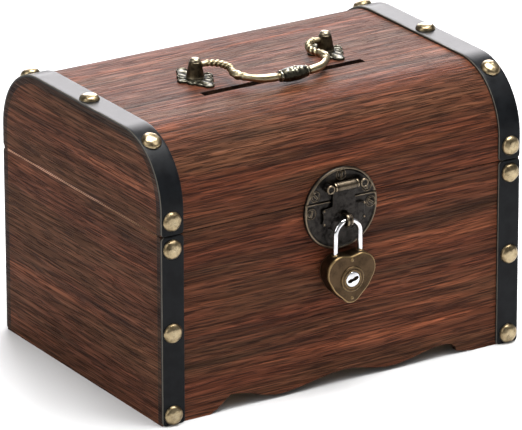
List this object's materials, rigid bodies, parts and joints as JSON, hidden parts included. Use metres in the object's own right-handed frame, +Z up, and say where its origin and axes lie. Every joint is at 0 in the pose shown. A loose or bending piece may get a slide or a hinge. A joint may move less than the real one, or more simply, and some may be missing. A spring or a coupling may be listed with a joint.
{
  "type": "wooden money box",
  "caption": "Small stained wooden money box with a hinged round-shouldered lid, a coin slot, black edge bands, dome nails, a carrying bail, a hasp and a heart padlock.",
  "frame": {"origin": "on the floor, under the middle of the closed box's overall width and depth", "axes": "+X along the box's width to its right, -Y towards the front with the padlock, +Z up"},
  "size_m": [0.2, 0.1603, 0.1486],
  "materials": {
    "stained_front": "satin stained, fine dark grain",
    "stained_end": "satin stained, fine dark grain",
    "bare_wood": "unfinished inside",
    "band_black": "satin black",
    "nail_brass": "antiqued, polished domes",
    "latch_bronze": "antiqued dark bronze with rubbed edges",
    "screw_steel": "darkened",
    "hinge_brass": "antiqued",
    "pewter": "antiqued cast pewter",
    "post_bronze": "dark antiqued",
    "bow_brass": "antiqued",
    "shackle_nickel": "polished nickel plate",
    "case_brass": "dark antiqued brass",
    "plug_nickel": "polished"
  },
  "bodies": {
    "base": {"base_front_board": "stained_front", "base_back_board": "stained_front", "base_left_end": "stained_end", "base_right_end": "stained_end", "base_bottom_board": "bare_wood", "base_front_rail": "bare_wood", "base_back_rail": "bare_wood", "base_band_front_left": "band_black", "base_band_front_right": "band_black", "base_band_back_left": "band_black", "base_band_back_right": "band_black", "base_nails_front": "nail_brass", "base_nails_back": "nail_brass", "latch_lower_plate": "latch_bronze", "latch_staple": "latch_bronze", "latch_lower_screws": "screw_steel", "hinge_base_leaf_left": "hinge_brass", "hinge_base_leaf_right": "hinge_brass", "hinge_pin_left": "hinge_brass", "hinge_pin_right": "hinge_brass", "hinge_base_screws": "hinge_brass"},
    "lid": {"lid_left_end": "stained_end", "lid_right_end": "stained_end", "lid_skin": "stained_front", "lid_front_rail": "bare_wood", "lid_back_rail": "bare_wood", "lid_band_left": "band_black", "lid_band_right": "band_black", "lid_nails_left": "nail_brass", "lid_nails_right": "nail_brass", "latch_upper_plate": "latch_bronze", "latch_upper_screws": "screw_steel", "hasp_pin": "latch_bronze", "handle_rosette_left": "pewter", "handle_rosette_right": "pewter", "handle_post_left": "post_bronze", "handle_post_right": "post_bronze", "handle_washers": "screw_steel", "handle_nuts": "screw_steel", "hinge_lid_leaf_left": "hinge_brass", "hinge_lid_leaf_right": "hinge_brass", "hinge_lid_screws": "hinge_brass"},
    "hasp": {"hasp_strap": "latch_bronze"},
    "bail": {"bail_bow": "bow_brass", "bail_pins": "bow_brass", "bail_grip": "pewter"},
    "shackle": {"lock_shackle": "shackle_nickel"},
    "case": {"lock_back_shell": "case_brass", "lock_front_shell": "case_brass", "lock_ring": "case_brass", "lock_rivets": "case_brass"},
    "plug": {"lock_plug": "plug_nickel"}
  },
  "joints": [
    {"name": "lid_hinge", "type": "hinge", "parent": "base", "child": "lid", "pos_m": [0, 0.07755, 0.094], "axis": [-1, 0, 0], "range_deg": [0, 110]},
    {"name": "hasp_swing", "type": "hinge", "parent": "lid", "child": "hasp", "pos_m": [-0.001, -0.07295, 0.101], "axis": [-1, 0, 0], "range_deg": [0, 67]},
    {"name": "bail_swing", "type": "hinge", "parent": "lid", "child": "bail", "pos_m": [0, 0.00275, 0.1445], "axis": [-1, 0, 0], "range_deg": [0, 188]},
    {"name": "padlock_swing", "type": "hinge", "parent": "base", "child": "shackle", "pos_m": [-0.001, -0.07485, 0.0843], "axis": [-1, 0, 0], "range_deg": [0, 120]},
    {"name": "case_release", "type": "slide", "parent": "shackle", "child": "case", "axis": [0, 0, -1], "range_m": [0, 0.005]},
    {"name": "plug_turn", "type": "hinge", "parent": "case", "child": "plug", "pos_m": [-0.001, -0.07485, 0.05605], "axis": [0, -1, 0], "range_deg": [0, 90]}
  ],
  "couplings": [
    {"joint": "hasp_swing", "follows": "lid_hinge", "ratio": 0.6},
    {"joint": "plug_turn", "follows": "case_release", "rad_per_m": 314.1}
  ]
}
